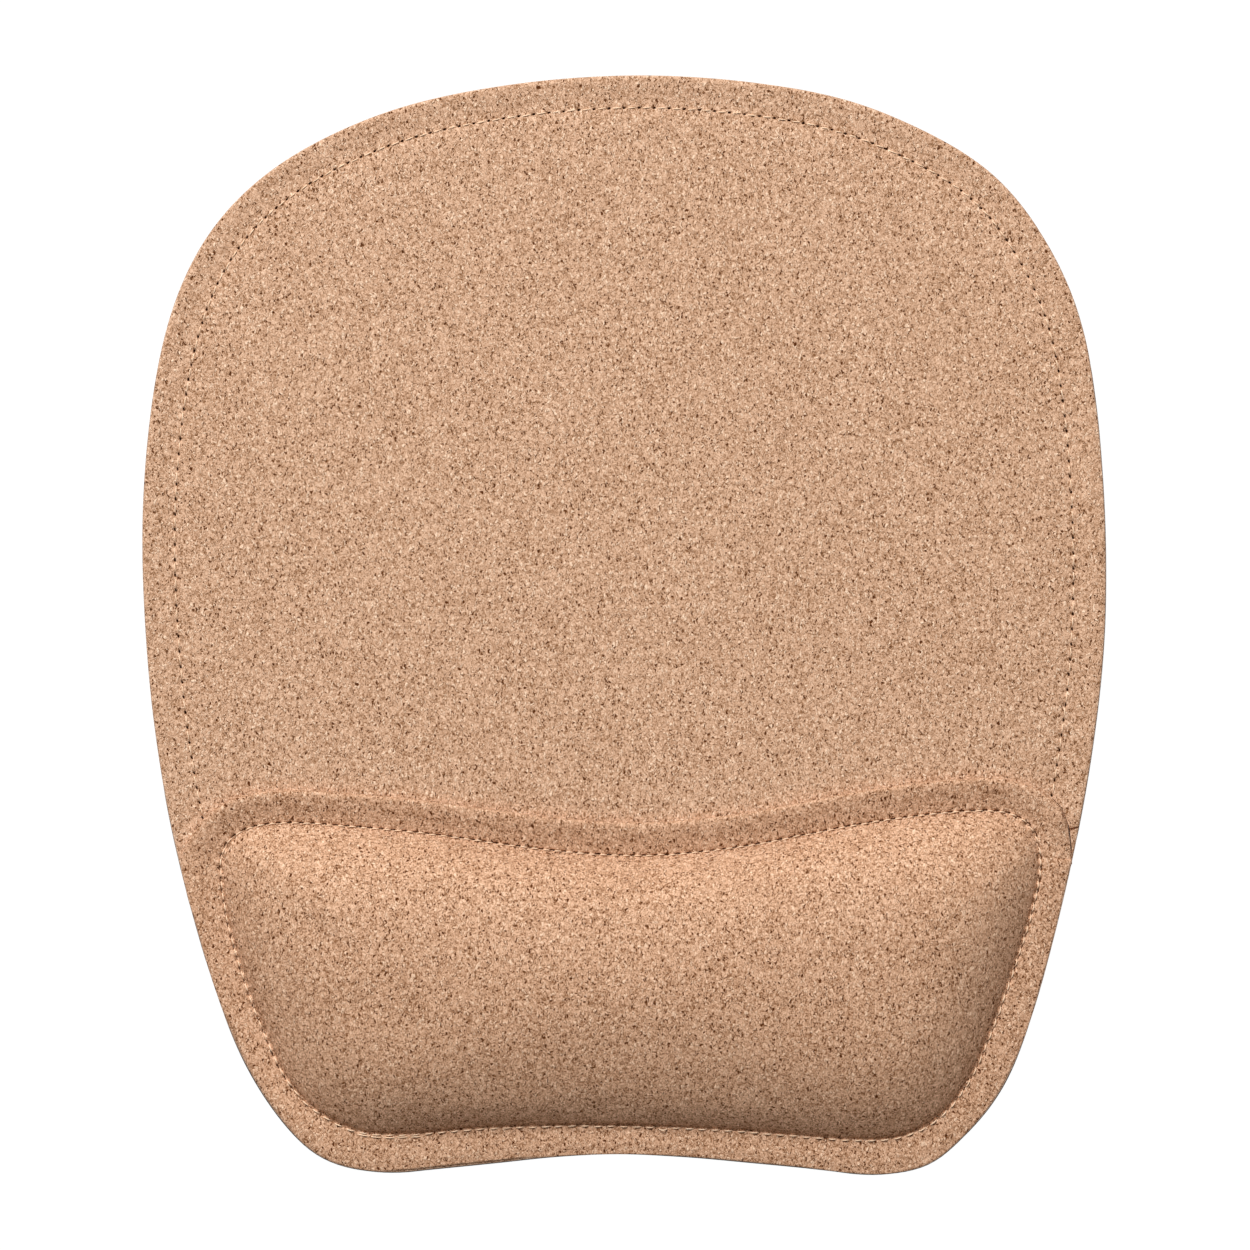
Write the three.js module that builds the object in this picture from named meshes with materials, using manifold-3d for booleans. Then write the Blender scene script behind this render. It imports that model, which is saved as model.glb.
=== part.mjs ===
// Mouse mat with a padded wrist rest sewn along its near side, both covered in cork fabric.
// Millimetres, +X to the user's right, +Y to the far edge, +Z up. The origin is on the desk,
// under the middle of the mat.

import * as THREE from "three";
import { mergeVertices } from "three/addons/utils/BufferGeometryUtils.js";
import Module from "manifold-3d";

const wasm = await Module();
wasm.setup();

// ---- Outlines: points on smooth closed curves, anticlockwise seen from above

// Edge of the non-slip base, from the middle of its near side: 219 wide and 250 deep.
const BASE_EDGE = [
  [-2, -120.2], [42, -123.5], [57.5, -125], [69, -122.8], [77, -116.5], [85.5, -106], [93, -88],
  [106.5, -29], [109.6, 15], [104.5, 67], [95, 89], [83, 103.3], [64, 114.5], [42.5, 121.5],
  [1.5, 125], [-39.5, 120.5], [-62, 113.5], [-80, 103.6], [-92.5, 91.5], [-101, 76.5],
  [-107, 53.5], [-109.6, 15], [-104, -41.5], [-88, -96], [-75, -116], [-66.8, -122],
  [-54.5, -124.4], [-40, -123.3],
];

// Seam round the wrist pad, from the middle of its near side.
const PAD_SEAM = [
  [-8, -113.7], [26, -114.9], [52, -116.9], [62.5, -116.4], [71, -112.3], [77, -105.5],
  [82, -95.5], [93, -63], [94.4, -53.5], [92.8, -46.9], [87.8, -43.3], [78.5, -42.7],
  [53, -45.8], [28, -50.6], [5.5, -52.8], [-16, -51.7], [-42, -48.2], [-64.5, -46],
  [-79.5, -45.5], [-87, -47.3], [-91, -51.5], [-91.3, -59], [-88, -75], [-76, -104.2],
  [-68.5, -111.5], [-60, -115.2], [-49, -115.7], [-36, -114.6],
];

// A small wedge-shaped slit in the mat's fabric, from under the pad's right corner to the edge.
const SLIT = [[100.2, -46.5], [100.6, -47.7], [104.6, -45.5]];

const MAT_STEPS = 3; // ring corners for each point of the mat's edge
const PAD_STEPS = 2; // ring corners for each point of the pad's seam

// ---- Thicknesses and heights

const FABRIC = 0.8; // cork fabric
const HEM_FABRIC = 0.6; // the pad's hem is pared thinner than its face
const CLEARANCE = 0.3; // between a piece and the walls round it

const BASE_TOP = 1.0;
const MAT_TOP = 5.2;
const FLANGE_TOP = 7.4;
const PAD_CROWN = 20;

const COVER_INSET = 0.4; // the mat's cover stands this far inside the base's edge
const MAT_HEM = 9; // width of the fabric turned under the mat
const FLANGE_HEM = 6; // width of the fabric turned under the pad's flange
const FLANGE_WIDTH = 8.4; // from the pad's seam to the flange's edge, where the mat leaves room
const FLANGE_TAPER = 0.5; // the flange is narrower on the far side by this, and wider on the near
const FLANGE_INSET = 0.4; // the flange stays this far inside the mat's cover

const PAD_SPINE_Y = -78; // the pad is highest along this line
const PAD_SPINE_SHARE = 0.64; // length of that line against the pad's length
const PAD_FULLNESS = 2.1; // 1 is a straight ridge, higher is a fuller pad
const PAD_SHARES = [0.78, 0.56, 0.36, 0.2, 0.08]; // rings of the pad, from its spine to its seam

// ---- Seams

const MAT_SEAM_INSET = 7.4;
const MAT_SEAM_END_Y = -46; // the mat's seam runs in under the flange to this line
const GROOVE_WIDTH = 1.2;
const GROOVE_DEPTH = 0.5;
const THREAD_WIDTH = 0.6;
const THREAD_HEIGHT = 0.4;

// ---- Materials

const finish = (color, roughness) => new THREE.MeshStandardMaterial({ color, roughness, metalness: 0 });
const corkFabric = finish(0xcba383, 0.85);
const thread = finish(0xe6cfb4, 0.7);
const baseRubber = finish(0x3b3b3d, 0.9);
const coreFoam = finish(0x55555a, 0.95);
const padFoam = finish(0xe8dfc4, 0.95);

// ---- Rings: closed lists of points round the part

function ringThrough(points, stepsPerPoint) {
  const corners = points.map(([x, y]) => new THREE.Vector3(x, y, 0));
  const curve = new THREE.CatmullRomCurve3(corners, true, "centripetal");
  return curve.getPoints(points.length * stepsPerPoint).slice(0, -1);
}

function outwardAt(ring, index) {
  const ahead = ring[(index + 1) % ring.length];
  const behind = ring[(index + ring.length - 1) % ring.length];
  return new THREE.Vector3(ahead.y - behind.y, behind.x - ahead.x, 0).normalize();
}

function grow(ring, distance) {
  return ring.map((point, i) => point.clone().addScaledVector(outwardAt(ring, i), distance));
}

function shrink(ring, distance) {
  return grow(ring, -distance);
}

function toward(ring, target, distance) {
  return ring.map((point, i) => {
    const step = target[i].clone().sub(point).setLength(distance);
    return point.clone().add(step);
  });
}

function between(ring, target, share) {
  return ring.map((point, i) => point.clone().lerp(target[i], share));
}

function at(ring, z) {
  return ring.map((point) => new THREE.Vector3(point.x, point.y, z));
}

// Distance from a point, along a direction, to the ring around it.
function reach(point, direction, ring) {
  const cross = (a, b) => a.x * b.y - a.y * b.x;
  const hits = ring.map((corner, i) => {
    const side = ring[(i + 1) % ring.length].clone().sub(corner);
    const offset = corner.clone().sub(point);
    const turn = cross(direction, side);
    const share = cross(offset, direction) / turn;
    const distance = cross(offset, side) / turn;
    return share >= 0 && share <= 1 && distance > 0 ? distance : Infinity;
  });
  return Math.min(...hits);
}

// The stretch of a ring beyond a line of constant y, with both ends on that line.
function beyond(ring, y) {
  const onLine = (near, far) => near.clone().lerp(far, (y - near.y) / (far.y - near.y));
  const first = ring.findIndex((point) => point.y > y);
  const last = ring.findLastIndex((point) => point.y > y);
  const start = onLine(ring[first - 1], ring[first]);
  const end = onLine(ring[last + 1], ring[last]);
  return [start, ...ring.slice(first, last + 1), end];
}

// ---- Solids

// A closed skin through level or domed rings, drawn together at a top and a bottom point.
function loft(top, rings, bottom) {
  const around = rings[0].length;
  const geometry = new THREE.SphereGeometry(1, around, rings.length + 1);
  const rows = [Array(around).fill(top), ...rings, Array(around).fill(bottom)];
  rows.forEach((row, j) => {
    for (let i = 0; i <= around; i++) {
      const point = row[i % around];
      geometry.attributes.position.setXYZ(j * (around + 1) + i, point.x, point.y, point.z);
    }
  });
  geometry.computeVertexNormals();
  return geometry;
}

function slab(shape, bottom, top) {
  const geometry = new THREE.ExtrudeGeometry(shape, { depth: top - bottom, bevelEnabled: false });
  return geometry.translate(0, 0, bottom);
}

function solid(geometry) {
  const bare = geometry.clone();
  bare.deleteAttribute("normal");
  bare.deleteAttribute("uv");
  const welded = mergeVertices(bare);
  const vertProperties = new Float32Array(welded.attributes.position.array);
  const triVerts = new Uint32Array(welded.index.array);
  return new wasm.Manifold(new wasm.Mesh({ numProp: 3, vertProperties, triVerts }));
}

function carve(geometry, cutters) {
  const carved = cutters.reduce((body, cutter) => body.subtract(solid(cutter)), solid(geometry));
  const { vertProperties, triVerts } = carved.getMesh();
  const result = new THREE.BufferGeometry();
  result.setAttribute("position", new THREE.BufferAttribute(vertProperties, 3));
  result.setIndex(new THREE.BufferAttribute(triVerts, 1));
  result.computeVertexNormals();
  return result;
}

// ---- Rings of the mat and the pad

const baseEdge = ringThrough(BASE_EDGE, MAT_STEPS);
const coverEdge = shrink(baseEdge, COVER_INSET);
const matSeam = shrink(baseEdge, MAT_SEAM_INSET);
const matMiddle = (z) => new THREE.Vector3(0, 0, z);

const padSeam = ringThrough(PAD_SEAM, PAD_STEPS);
const flangeEdge = padSeam.map((point, i) => {
  const outward = outwardAt(padSeam, i);
  const room = reach(point, outward, coverEdge) - FLANGE_INSET;
  const width = Math.min(FLANGE_WIDTH - FLANGE_TAPER * outward.y, room);
  return point.clone().addScaledVector(outward, width);
});
const padSpine = padSeam.map(({ x }) => new THREE.Vector3(PAD_SPINE_SHARE * x, PAD_SPINE_Y, 0));
const padMiddle = (z) => new THREE.Vector3(0, PAD_SPINE_Y, z);

const groove = GROOVE_WIDTH / 2;
const grooveFloor = FLANGE_TOP - GROOVE_DEPTH;

// Bands that follow the seams: open round the mat, closed round the pad.
function matSeamBand(width, endY) {
  const outer = beyond(grow(matSeam, width / 2), endY);
  const inner = beyond(shrink(matSeam, width / 2), endY);
  return new THREE.Shape([...outer, ...inner.reverse()]);
}

function padSeamBand(width) {
  const band = new THREE.Shape(grow(padSeam, width / 2));
  band.holes.push(new THREE.Path(shrink(padSeam, width / 2)));
  return band;
}

// Rings of a dome that rises from its foot round the seam to its crown along the spine.
function domeRings(foot, footZ, crownZ) {
  return PAD_SHARES.map((share) => {
    const rise = 1 - (1 - share) ** PAD_FULLNESS;
    return at(between(foot, padSpine, share), THREE.MathUtils.lerp(footZ, crownZ, rise));
  });
}

// ---- The mat

function baseSheet() {
  const grooves = [
    slab(matSeamBand(GROOVE_WIDTH, MAT_SEAM_END_Y), -BASE_TOP, GROOVE_DEPTH),
    slab(padSeamBand(GROOVE_WIDTH), -BASE_TOP, GROOVE_DEPTH),
  ];
  return carve(slab(new THREE.Shape(baseEdge), 0, BASE_TOP), grooves);
}

// Foam that fills the mat's cover, thinner where it lies on the turned hem.
function matCore() {
  const hemTop = BASE_TOP + FABRIC;
  const coreTop = MAT_TOP - FABRIC;
  const radius = (MAT_TOP - BASE_TOP) / 2;
  const flat = shrink(coverEdge, radius + CLEARANCE);
  const rim = shrink(coverEdge, FABRIC + CLEARANCE);
  const step = shrink(coverEdge, MAT_HEM + CLEARANCE);
  const rings = [at(flat, coreTop), at(rim, BASE_TOP + radius), at(flat, hemTop), at(step, hemTop),
    at(step, BASE_TOP)];
  return loft(matMiddle(coreTop), rings, matMiddle(BASE_TOP));
}

// Half-round edge of a turned cover, as rings from its top to its underside.
function turnedEdge(ringAtInset, centreInset, centreZ, radiusAcross, radiusUp) {
  return [90, 45, 0, -45, -90].map((degrees) => {
    const angle = THREE.MathUtils.degToRad(degrees);
    const inset = centreInset - radiusAcross * Math.cos(angle);
    return at(ringAtInset(inset), centreZ + radiusUp * Math.sin(angle));
  });
}

// One piece of fabric over the top, round the edge and turned under as a hem.
function matCover() {
  const outerRadius = (MAT_TOP - BASE_TOP) / 2;
  const innerRadius = outerRadius - FABRIC;
  const centreZ = BASE_TOP + outerRadius;
  const inset = (distance) => shrink(coverEdge, distance);
  const rings = [
    ...turnedEdge(inset, outerRadius, centreZ, outerRadius, outerRadius),
    at(inset(MAT_HEM), BASE_TOP),
    at(inset(MAT_HEM), BASE_TOP + FABRIC),
    ...turnedEdge(inset, outerRadius, centreZ, innerRadius, innerRadius).reverse(),
  ];
  const cover = loft(matMiddle(MAT_TOP), rings, matMiddle(MAT_TOP - FABRIC));
  const seam = slab(matSeamBand(GROOVE_WIDTH, MAT_SEAM_END_Y), MAT_TOP - GROOVE_DEPTH, FLANGE_TOP);
  const slit = slab(new THREE.Shape(SLIT.map(([x, y]) => new THREE.Vector2(x, y))), centreZ, FLANGE_TOP);
  return carve(cover, [seam, slit]);
}

// ---- The wrist rest

// Thin sheet inside the flange, which reaches down to the mat inside the hem.
function restBacking() {
  const top = FLANGE_TOP - FABRIC;
  const hemTop = MAT_TOP + HEM_FABRIC;
  const edgeRadius = (FLANGE_TOP - MAT_TOP) / 2;
  const rim = toward(flangeEdge, padSeam, edgeRadius + CLEARANCE);
  const step = toward(flangeEdge, padSeam, FLANGE_HEM + CLEARANCE);
  const rings = [at(rim, top), at(rim, hemTop), at(step, hemTop), at(step, MAT_TOP)];
  return loft(padMiddle(top), rings, padMiddle(MAT_TOP));
}

function restFoam() {
  const bottom = FLANGE_TOP - FABRIC;
  const shoulder = bottom + 2 * CLEARANCE;
  const crown = PAD_CROWN - FABRIC - CLEARANCE;
  const foot = toward(padSeam, padSpine, 3);
  const rings = [...domeRings(foot, shoulder, crown), at(foot, shoulder), at(foot, bottom)];
  return loft(padMiddle(crown), rings, padMiddle(bottom));
}

// One piece of fabric: the dome, the seam's groove, the flange, and its edge turned under.
function restCover() {
  const underside = FLANGE_TOP - FABRIC;
  const edgeRadius = (FLANGE_TOP - MAT_TOP) / 2;
  const edgeZ = MAT_TOP + edgeRadius;
  const inset = (distance) => toward(flangeEdge, padSeam, distance);
  const innerFoot = toward(padSeam, padSpine, groove + 1);
  const innerEdge = [
    at(inset(edgeRadius), MAT_TOP + HEM_FABRIC),
    at(inset(edgeRadius - CLEARANCE), (MAT_TOP + HEM_FABRIC + underside) / 2),
    at(inset(edgeRadius), underside),
  ];
  const rings = [
    ...domeRings(shrink(padSeam, groove), FLANGE_TOP, PAD_CROWN),
    at(shrink(padSeam, groove), FLANGE_TOP),
    at(shrink(padSeam, groove), grooveFloor),
    at(grow(padSeam, groove), grooveFloor),
    at(grow(padSeam, groove), FLANGE_TOP),
    ...turnedEdge(inset, edgeRadius, edgeZ, edgeRadius, edgeRadius),
    at(inset(FLANGE_HEM), MAT_TOP),
    at(inset(FLANGE_HEM), MAT_TOP + HEM_FABRIC),
    ...innerEdge,
    at(innerFoot, underside),
    ...domeRings(innerFoot, underside, PAD_CROWN - FABRIC).reverse(),
  ];
  return loft(padMiddle(PAD_CROWN), rings, padMiddle(PAD_CROWN - FABRIC));
}

// ---- Threads, each lying in its groove: needle threads on top, bobbin threads underneath

const threadEndY = MAT_SEAM_END_Y + CLEARANCE;
const bobbinBottom = GROOVE_DEPTH - THREAD_HEIGHT;
const matGrooveFloor = MAT_TOP - GROOVE_DEPTH;

const matNeedleThread = slab(
  matSeamBand(THREAD_WIDTH, threadEndY), matGrooveFloor, matGrooveFloor + THREAD_HEIGHT);
const matBobbinThread = slab(matSeamBand(THREAD_WIDTH, threadEndY), bobbinBottom, GROOVE_DEPTH);
const restNeedleThread = slab(padSeamBand(THREAD_WIDTH), grooveFloor, grooveFloor + THREAD_HEIGHT);
const restBobbinThread = slab(padSeamBand(THREAD_WIDTH), bobbinBottom, GROOVE_DEPTH);

// ---- Assembly

const mat = new THREE.Group();

function add(name, geometry, material) {
  const mesh = new THREE.Mesh(geometry, material);
  mesh.name = name;
  mat.add(mesh);
}

add("base_sheet", baseSheet(), baseRubber);
add("mat_core", matCore(), coreFoam);
add("mat_cover", matCover(), corkFabric);
add("mat_needle_thread", matNeedleThread, thread);
add("mat_bobbin_thread", matBobbinThread, thread);
add("rest_backing", restBacking(), coreFoam);
add("rest_foam", restFoam(), padFoam);
add("rest_cover", restCover(), corkFabric);
add("rest_needle_thread", restNeedleThread, thread);
add("rest_bobbin_thread", restBobbinThread, thread);

export default mat;
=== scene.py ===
"""Cork mouse mat with a sewn-on wrist pad: its looks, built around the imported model.

Lengths are in metres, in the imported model's frame: +X right, +Y to the far edge, +Z up.
"""

import math

import bpy
import numpy as np
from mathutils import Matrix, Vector


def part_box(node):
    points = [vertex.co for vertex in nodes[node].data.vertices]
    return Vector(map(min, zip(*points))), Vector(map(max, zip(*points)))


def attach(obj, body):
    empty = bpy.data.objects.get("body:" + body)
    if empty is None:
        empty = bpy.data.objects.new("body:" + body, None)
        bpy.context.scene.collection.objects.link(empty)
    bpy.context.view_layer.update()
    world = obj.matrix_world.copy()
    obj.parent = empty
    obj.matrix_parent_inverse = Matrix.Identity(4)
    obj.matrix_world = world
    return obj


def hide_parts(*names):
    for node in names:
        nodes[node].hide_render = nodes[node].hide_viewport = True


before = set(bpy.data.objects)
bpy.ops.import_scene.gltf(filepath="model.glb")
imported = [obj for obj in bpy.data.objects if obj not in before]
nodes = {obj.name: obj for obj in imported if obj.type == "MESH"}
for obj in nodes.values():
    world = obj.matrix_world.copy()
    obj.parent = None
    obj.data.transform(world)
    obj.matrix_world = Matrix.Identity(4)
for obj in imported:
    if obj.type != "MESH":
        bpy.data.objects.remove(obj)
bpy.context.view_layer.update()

MM = 0.001

# ---- Driving sizes

FABRIC = 0.8 * MM            # cork fabric
HEM_FABRIC = 0.6 * MM        # the pad's turned hem, pared thinner
SKIN_GAP = 0.05 * MM         # between a hidden piece and the fabric over it
LEVEL = 0.02 * MM            # CAD corners this close in height are on one level

MAT_EDGE_INSET = -0.1 * MM   # the cover bulges this far past the base sheet of the CAD model
MAT_EDGE_RADIUS = 0.9 * MM   # seen from above
MAT_EDGE_WAVER = 0.15 * MM
MAT_RIM_RISE = 0.2 * MM      # the edge stands this far above the panel inside the seam
MAT_SEAM_INSET = 7.5 * MM    # from the cover's edge
MAT_SEAM_SHARE = 0.94        # the seam's length against the edge's
MAT_SEAM_END = -46.0 * MM    # the seam runs in under the pad's flange to this Y
MAT_SEAM_FADE = 2.0 * MM     # and its relief fades out over this length
MAT_VALLEY = 0.38 * MM       # how deep the seam draws the fabric down
MAT_VALLEY_REACH = 1.6 * MM  # and how far inward
MAT_HEM = 9.0 * MM
MAT_STITCH = 3.4 * MM
PANEL_INSET = 12.0 * MM      # the mat is level from here inward

PAD_NEAR_STITCH = 2.95 * MM  # along the near half of the pad's seam
PAD_FAR_STITCH = 2.6 * MM    # along the far half
PAD_SPREAD = 0.7 * MM        # the flange is this much wider except on the far side
PAD_EDGE_WAVER = 0.12 * MM
PAD_VALLEY_Z = 6.0 * MM      # height of the fabric at the pad's seam
PAD_RIM = 1.0 * MM           # radius of the flange's rounded edge, seen from above
PAD_RIM_RISE = 0.2 * MM      # the rim stands this far above the flat flange of the CAD model
PAD_HEM = 6.0 * MM
DROOP_SIDE = (0.7, -1.0)     # the flange hangs down on the side that faces this way,
PAD_RIM_DROOP = 1.5 * MM     # where its rim is this much lower,
PAD_RIM_FALL = 0.3 * MM      # its last millimetres fall away by this
PAD_VALLEY_LIFT = 0.25 * MM  # and its seam is this much less deep

PAD_FULLNESS = 3.1           # how steeply the pad rises at its foot
PAD_LEFT_EASE = 0.8          # less steeply at its left end
PAD_NEAR_STEEP = 0.4         # and more steeply along its near side
PAD_SPINE_SHARE = 0.64       # length of the pad's highest line against the pad's length
PAD_LEVELS = 26              # rows of the pad from its seam to its highest line
PAD_CROWDING = 1.4           # how much closer together those rows are near the seam
PAD_FOOT = 0.55 * MM         # width of the strip inside the seam that the stitches hold down
DOME_SHARE = 0.94            # height of the dome before it is inflated, against afterwards
DOME_CAP = 2.5 * MM          # no point of it may move further than this
CLOTH_STEPS = 20

PIT_DEPTH = 0.9 * MM         # needle holes
PIT_ALONG = 0.42 * MM
PIT_ACROSS = 0.24 * MM
PIT_SLANT = 0.6              # how far a hole leans along the seam for each step outward
MAT_PIT_SIZE = 0.78
PAD_PIT_SIZE = 1.5           # the pad's needle holes are pulled open this much wider
PAD_SIDE_PITS = 0.7          # but are this much narrower along the left and the near side
PIT_SHIFT = 0.25 * MM        # the holes are pulled this far out, and as far in on the near side
SCALLOP = 0.5 * MM           # the far side's edge bulges this far out between two holes
PUCKER = 0.2 * MM            # rise of the fabric between two needle holes
PUCKER_REACH = 0.9 * MM

THREAD_RADIUS = 0.16 * MM
BOBBIN_RADIUS = 0.2 * MM
STITCH_SHARE = 0.93          # a stitch's length against the distance between its holes
STITCH_TAPER = 0.3           # and how much thinner its ends are
STRAY_OUT = 0.04 * MM        # how far stitches stray from the seam line,
STRAY_UP = 0.03 * MM         # and up or down
STITCH_STEPS = 12            # sections along one stitch
STITCH_SIDES = 10            # corners round one section
PLIES = 3
PLY_DEPTH = 0.14             # of the radius, the depth of the grooves between the plies
TWIST = 2.0 * MM             # length of one turn of the plies
MAT_SLANT = 0.15 * MM        # a stitch starts this far outside the seam line, ends as far in
PAD_SLANT = 0.1 * MM
PAD_THREAD_OUT = 0.1 * MM    # the middle of the pad's thread lies this far outside the seam line
PAD_NEAR_THREAD = 0.1 * MM   # the near side's thread lies this much higher and further out,
PAD_FAR_BOW = 0.3 * MM       # and the far side's bows this far outward
LOOSE_STITCH = (6.5 * MM, -114.3 * MM)
LOOSE_BY = 0.45 * MM         # how far it stands up and out
OVERLAP_FROM = (-62 * MM, -115.0 * MM)  # where a few stitches are sewn over twice
OVERLAP_STITCHES = 5
OVERLAP_SHIFT = 0.7 * MM

CREASE_GAP = 0.24 * MM       # between the flange's right corner and the mat beside it
CREASE_DEPTH = 0.8 * MM
CREASE_FROM, CREASE_TO = math.radians(-4), math.radians(52)
SLIT = [(99.6 * MM, -46.5 * MM), (99.8 * MM, -47.6 * MM), (105.0 * MM, -45.4 * MM)]
SLIT_DEPTH = 0.6 * MM

# Where the mat shows past the pad's flange: the stretch's middle and reach, and by how much.
MAT_SHOWS = ((-37 * MM, -123 * MM), 20 * MM, 0.45 * MM)
# Where the base sheet shows past the cover, likewise.
SHEET_SHOWS = [((107 * MM, 5 * MM), 70 * MM, 0.3 * MM), ((-102 * MM, -58 * MM), 26 * MM, 0.3 * MM),
               ((0, -125 * MM), 120 * MM, 0.45 * MM)]
SHEET_TUCK = 0.25 * MM       # and how far it lies inside the cover's edge elsewhere
SHEET_EDGE_RADIUS = 0.3 * MM
GROOVE_REACH = 0.7 * MM      # half the width of the grooves under the seams
GROOVE_DEPTH = 0.55 * MM
EDGE_SQUARENESS = 0.55       # 1 is a round edge, 0 a square one

# Places across a seam where the fabric has a row of points, outward from the seam line.
SEAM_ROWS = [0.14 * MM, 0.3 * MM, 0.52 * MM, 0.85 * MM, 1.4 * MM, 2.3 * MM]

FLOOR_REACH = 20.0
KEY_PLACE = (-0.5, 1.64, 2.0)
KEY_SIZE = 1.14
KEY_POWER = 86
SKY_COLOUR = (1, 0.84, 0.72, 1)
SKY_STRENGTH = 0.16
CAMERA_PLACE = (0.2 * MM, 0, 1.4)
PICTURE_WIDTH = 0.2843       # the mat's 250 mm fill 88% of the picture
SENSOR = 36.0

# ---- Sizes that the frame gives

BASE_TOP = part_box("base_sheet")[1].z
MAT_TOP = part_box("mat_cover")[1].z
FLANGE_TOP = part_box("rest_backing")[1].z + FABRIC
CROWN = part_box("rest_cover")[1].z
RIM_TOP = FLANGE_TOP + PAD_RIM_RISE


def corners(node):
    """The corner points of a CAD node, each once."""
    places = np.array([vertex.co for vertex in nodes[node].data.vertices])
    return np.unique(places.round(6), axis=0)


def corners_at(node, z):
    """Plan of the corner points that a CAD node has at one height."""
    places = corners(node)
    return places[abs(places[:, 2] - z) < LEVEL][:, :2]


def anticlockwise(points, centre):
    """Points sorted round a centre, starting from its left."""
    angles = np.arctan2(points[:, 1] - centre[1], points[:, 0] - centre[0])
    return points[np.argsort(angles)]


def middle_line(thread, centre):
    """The line down the middle of a CAD thread, whose corners lie in pairs across it."""
    edges = corners_at(thread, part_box(thread)[1].z)
    gaps = np.linalg.norm(edges[:, None] - edges[None], axis=2)
    np.fill_diagonal(gaps, np.inf)
    middles = (edges + edges[gaps.argmin(axis=1)]) / 2
    return anticlockwise(np.unique(middles.round(6), axis=0), centre)


rest_corners = corners("rest_cover")
pad_crown = rest_corners[rest_corners[:, 2].argmax()]
SPINE_Y = pad_crown[1]

# ---- Smooth loops


def unit(vectors):
    return vectors / np.linalg.norm(vectors, axis=-1, keepdims=True)


def raised(plan, z):
    """Plan points at a height, one for all or one for each."""
    return np.column_stack([plan, np.broadcast_to(z, len(plan))])


class Loop:
    """A smooth closed curve through rows that start with x and y, found by share of its length."""

    STEPS = 24

    def __init__(self, rows):
        rows = np.asarray(rows, float)
        after = np.linalg.norm(np.roll(rows[:, :2], -1, 0) - rows[:, :2], axis=1)[:, None]
        before = np.roll(after, 1, 0)
        ahead = (np.roll(rows, -1, 0) - rows) / after
        behind = (rows - np.roll(rows, 1, 0)) / before
        slope = (ahead * before + behind * after) / (before + after)
        t = (np.arange(self.STEPS) / self.STEPS)[None, :, None]
        start, end = rows[:, None], np.roll(rows, -1, 0)[:, None]
        leave, arrive = (slope * after)[:, None], (np.roll(slope, -1, 0) * after)[:, None]
        dense = start * (2 * t**3 - 3 * t**2 + 1) + leave * (t**3 - 2 * t**2 + t)
        dense = dense + end * (3 * t**2 - 2 * t**3) + arrive * (t**3 - t**2)
        dense = dense.reshape(-1, rows.shape[1])
        self.rows = np.vstack([dense, dense[:1]])
        steps = np.linalg.norm(np.diff(self.rows[:, :2], axis=0), axis=1)
        self.along = np.concatenate([[0], np.cumsum(steps)])
        self.length = self.along[-1]

    def at(self, shares):
        along = np.mod(shares, 1.0) * self.length
        return np.stack([np.interp(along, self.along, column) for column in self.rows.T], axis=1)

    def outward(self, shares):
        step = 0.3 * MM / self.length
        run = unit(self.at(shares + step)[:, :2] - self.at(shares - step)[:, :2])
        return np.stack([run[:, 1], -run[:, 0]], axis=1)


def wobble(shares, size, seed):
    """A slow random waver round a loop, that closes on itself."""
    chance = np.random.default_rng(seed)
    total = np.zeros(len(shares))
    for waves in (2, 3, 5, 8, 13, 21):
        total += np.sin(2 * math.pi * (waves * shares + chance.random())) / math.sqrt(waves)
    return total * size / 2


# ---- Meshes through rows of points


def add_object(name, data, place=(0, 0, 0)):
    made = bpy.data.objects.new(name, data)
    made.location = place
    bpy.context.scene.collection.objects.link(made)
    return made


def add_mesh(name, points, faces, smooth=True):
    """A mesh piece. A fourth number of each point says how far it lies inside a needle hole, where
    the cork materials paint shade.
    """
    mesh = bpy.data.meshes.new(name)
    mesh.from_pydata(points[:, :3].tolist(), [], faces)
    mesh.update()
    if points.shape[1] > 3:
        mesh.attributes.new("hole", "FLOAT", "POINT").data.foreach_set("value", points[:, 3])
    if smooth:
        mesh.shade_smooth()
    return add_object(name, mesh)


def band(upper, lower):
    """Faces between two rows of corner numbers, whose counts are equal or one twice the other."""
    if len(upper) < len(lower):
        return [[b, a, c] for a, b, c in band(lower, upper)]
    count = len(lower)
    pairs = [(i, (i + 1) % count) for i in range(count)]
    if len(upper) == count:
        return [[upper[i], lower[i], lower[j], upper[j]] for i, j in pairs]
    if len(upper) != 2 * count:
        raise ValueError(f"rows of {len(upper)} and {count} points don't meet")
    faces = []
    for i, j in pairs:
        first, middle, last = upper[2 * i], upper[2 * i + 1], upper[2 * j]
        faces += [[first, lower[i], middle], [middle, lower[i], lower[j]],
                  [middle, lower[j], last]]
    return faces


def folded(count):
    """For each corner of a ring folded flat on a line, its place along that line."""
    places = np.arange(count)
    return np.minimum(places, count - places)


def skin(name, top, rows, bottom):
    """A closed mesh from a top to a bottom, each a point or a line that the ring folds onto."""
    points, rings = [], []
    start = 0
    for block in (top, *rows, bottom):
        block = np.atleast_2d(block)
        block = np.column_stack([block, np.zeros((len(block), 4 - block.shape[1]))])
        points.append(block)
        rings.append(np.arange(start, start + len(block)))
        start += len(block)
    for end, beside in ((0, 1), (-1, -2)):
        count = len(rings[beside])
        folds = folded(count) if len(rings[end]) > 1 else np.zeros(count, int)
        rings[end] = rings[end][folds]
    faces = []
    for upper, lower in zip(rings, rings[1:]):
        for face in band(upper.tolist(), lower.tolist()):
            faces.append([corner for i, corner in enumerate(face) if corner != face[i - 1]])
    return add_mesh(name, np.vstack(points), faces)


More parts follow.
